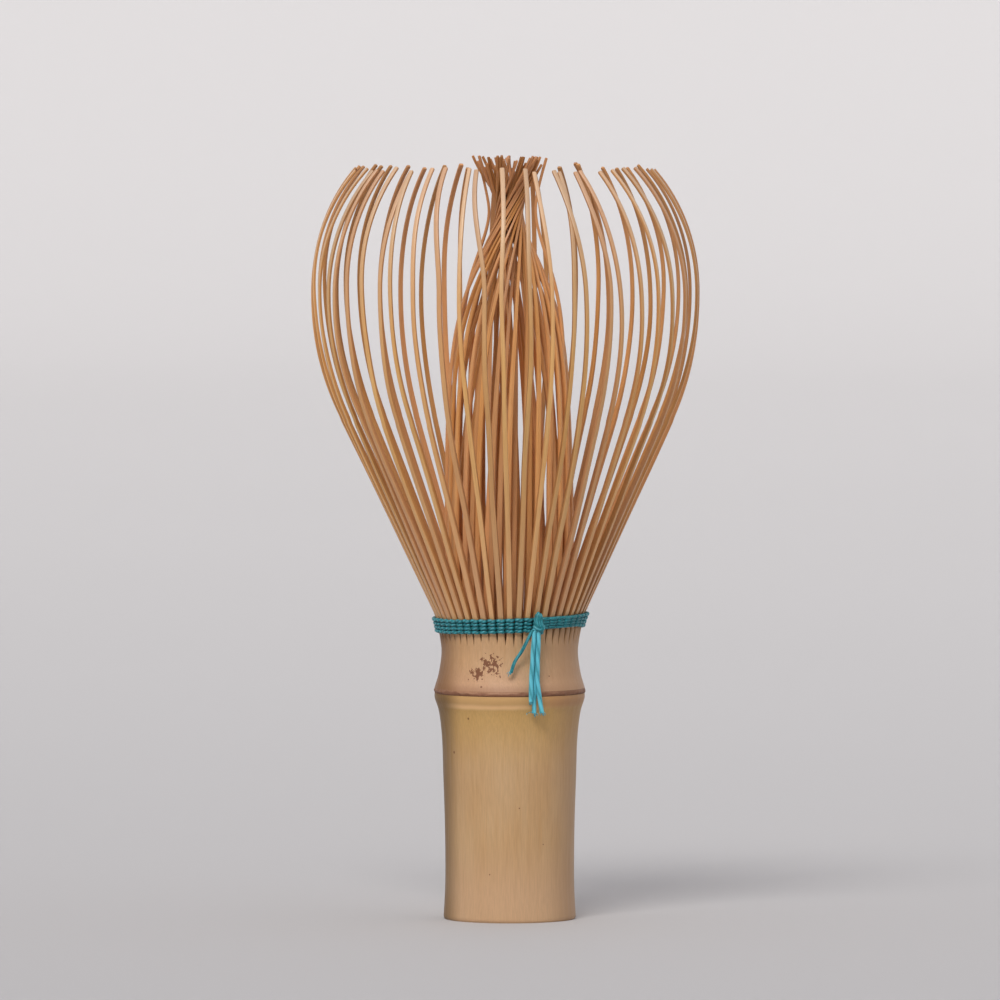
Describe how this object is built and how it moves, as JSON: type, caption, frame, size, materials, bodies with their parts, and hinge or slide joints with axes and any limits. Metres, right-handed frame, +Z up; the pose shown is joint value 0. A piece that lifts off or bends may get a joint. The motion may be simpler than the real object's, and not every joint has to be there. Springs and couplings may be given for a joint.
{
  "type": "bamboo tea whisk",
  "caption": "Hand whisk split from one bamboo culm: hollow handle, flared outer tines, twisted inner tines, and a bound thread with loose ends.",
  "frame": {"origin": "centre of the handle's cut end, on the surface the whisk stands on", "axes": "+Z up along the handle to the tine tips, -Y towards the knot side (the front), +X to the right"},
  "size_m": [0.0608, 0.0608, 0.1184],
  "materials": {
    "culm_skin": "satin",
    "collar_skin": "satin",
    "node_scar": "matte",
    "bamboo_pith": "matte",
    "outer_tine": "satin",
    "inner_tine": "satin",
    "dyed_thread": "matte"
  },
  "bodies": {
    "handle": {"handle_culm": "culm_skin", "node_septum": "bamboo_pith", "node_ring": "node_scar", "tine_collar": "collar_skin", "thread_wrap_1": "dyed_thread", "thread_wrap_2": "dyed_thread", "thread_wrap_3": "dyed_thread", "thread_wrap_4": "dyed_thread", "thread_inner_course": "dyed_thread", "thread_knot": "dyed_thread"},
    "outer_group_01": {"outer_tines_01": "outer_tine"},
    "outer_group_02": {"outer_tines_02": "outer_tine"},
    "outer_group_03": {"outer_tines_03": "outer_tine"},
    "outer_group_04": {"outer_tines_04": "outer_tine"},
    "outer_group_05": {"outer_tines_05": "outer_tine"},
    "outer_group_06": {"outer_tines_06": "outer_tine"},
    "outer_group_07": {"outer_tines_07": "outer_tine"},
    "outer_group_08": {"outer_tines_08": "outer_tine"},
    "outer_group_09": {"outer_tines_09": "outer_tine"},
    "outer_group_10": {"outer_tines_10": "outer_tine"},
    "outer_group_11": {"outer_tines_11": "outer_tine"},
    "outer_group_12": {"outer_tines_12": "outer_tine"},
    "outer_group_13": {"outer_tines_13": "outer_tine"},
    "inner_basket": {"inner_tines_01": "inner_tine", "inner_tines_02": "inner_tine", "inner_tines_03": "inner_tine", "inner_tines_04": "inner_tine", "inner_tines_05": "inner_tine", "inner_tines_06": "inner_tine", "inner_tines_07": "inner_tine", "inner_tines_08": "inner_tine", "inner_tines_09": "inner_tine", "inner_tines_10": "inner_tine", "inner_tines_11": "inner_tine", "inner_tines_12": "inner_tine", "inner_tines_13": "inner_tine"},
    "main_tails": {"thread_tail_left": "dyed_thread", "thread_tail_back": "dyed_thread", "thread_tail_right": "dyed_thread"},
    "side_tail": {"thread_tail_side": "dyed_thread"}
  },
  "joints": [
    {"name": "outer_flex_01", "type": "hinge", "parent": "handle", "child": "outer_group_01", "pos_m": [0.01038, 0.0019, 0.0461], "axis": [-0.1803, 0.9836, 0], "range_deg": [-3, 6], "stiffness_Nm_per_rad": 0.02},
    {"name": "outer_flex_02", "type": "hinge", "parent": "handle", "child": "outer_group_02", "pos_m": [0.0083, 0.00651, 0.0461], "axis": [-0.6167, 0.7872, 0], "range_deg": [-3, 6], "stiffness_Nm_per_rad": 0.02},
    {"name": "outer_flex_03", "type": "hinge", "parent": "handle", "child": "outer_group_03", "pos_m": [0.00433, 0.00962, 0.0461], "axis": [-0.9119, 0.4104, 0], "range_deg": [-3, 6], "stiffness_Nm_per_rad": 0.02},
    {"name": "outer_flex_04", "type": "hinge", "parent": "handle", "child": "outer_group_04", "pos_m": [-0.00064, 0.01053, 0.0461], "axis": [-0.9982, -0.0604, 0], "range_deg": [-3, 6], "stiffness_Nm_per_rad": 0.02},
    {"name": "outer_flex_05", "type": "hinge", "parent": "handle", "child": "outer_group_05", "pos_m": [-0.00546, 0.00903, 0.0461], "axis": [-0.8558, -0.5173, 0], "range_deg": [-3, 6], "stiffness_Nm_per_rad": 0.02},
    {"name": "outer_flex_06", "type": "hinge", "parent": "handle", "child": "outer_group_06", "pos_m": [-0.00903, 0.00546, 0.0461], "axis": [-0.5173, -0.8558, 0], "range_deg": [-3, 6], "stiffness_Nm_per_rad": 0.02},
    {"name": "outer_flex_07", "type": "hinge", "parent": "handle", "child": "outer_group_07", "pos_m": [-0.01053, 0.00064, 0.0461], "axis": [-0.0604, -0.9982, 0], "range_deg": [-3, 6], "stiffness_Nm_per_rad": 0.02},
    {"name": "outer_flex_08", "type": "hinge", "parent": "handle", "child": "outer_group_08", "pos_m": [-0.00962, -0.00433, 0.0461], "axis": [0.4104, -0.9119, 0], "range_deg": [-3, 6], "stiffness_Nm_per_rad": 0.02},
    {"name": "outer_flex_09", "type": "hinge", "parent": "handle", "child": "outer_group_09", "pos_m": [-0.00651, -0.0083, 0.0461], "axis": [0.7872, -0.6167, 0], "range_deg": [-3, 6], "stiffness_Nm_per_rad": 0.02},
    {"name": "outer_flex_10", "type": "hinge", "parent": "handle", "child": "outer_group_10", "pos_m": [-0.0019, -0.01038, 0.0461], "axis": [0.9836, -0.1803, 0], "range_deg": [-3, 6], "stiffness_Nm_per_rad": 0.02},
    {"name": "outer_flex_11", "type": "hinge", "parent": "handle", "child": "outer_group_11", "pos_m": [0.00314, -0.01007, 0.0461], "axis": [0.9547, 0.2975, 0], "range_deg": [-3, 6], "stiffness_Nm_per_rad": 0.02},
    {"name": "outer_flex_12", "type": "hinge", "parent": "handle", "child": "outer_group_12", "pos_m": [0.00746, -0.00746, 0.0461], "axis": [0.7071, 0.7071, 0], "range_deg": [-3, 6], "stiffness_Nm_per_rad": 0.02},
    {"name": "outer_flex_13", "type": "hinge", "parent": "handle", "child": "outer_group_13", "pos_m": [0.01007, -0.00314, 0.0461], "axis": [0.2975, 0.9547, 0], "range_deg": [-3, 6], "stiffness_Nm_per_rad": 0.02},
    {"name": "inner_sway", "type": "hinge", "parent": "handle", "child": "inner_basket", "pos_m": [0, 0, 0.04545], "axis": [0, 1, 0], "range_deg": [-3, 3], "stiffness_Nm_per_rad": 0.15},
    {"name": "main_tails_lift", "type": "hinge", "parent": "handle", "child": "main_tails", "pos_m": [0.0041, -0.0122, 0.04445], "axis": [-1, 0, 0], "range_deg": [0, 70]},
    {"name": "side_tail_lift", "type": "hinge", "parent": "handle", "child": "side_tail", "pos_m": [0.003, -0.01235, 0.04445], "axis": [-1, 0, 0], "range_deg": [0, 70]}
  ]
}
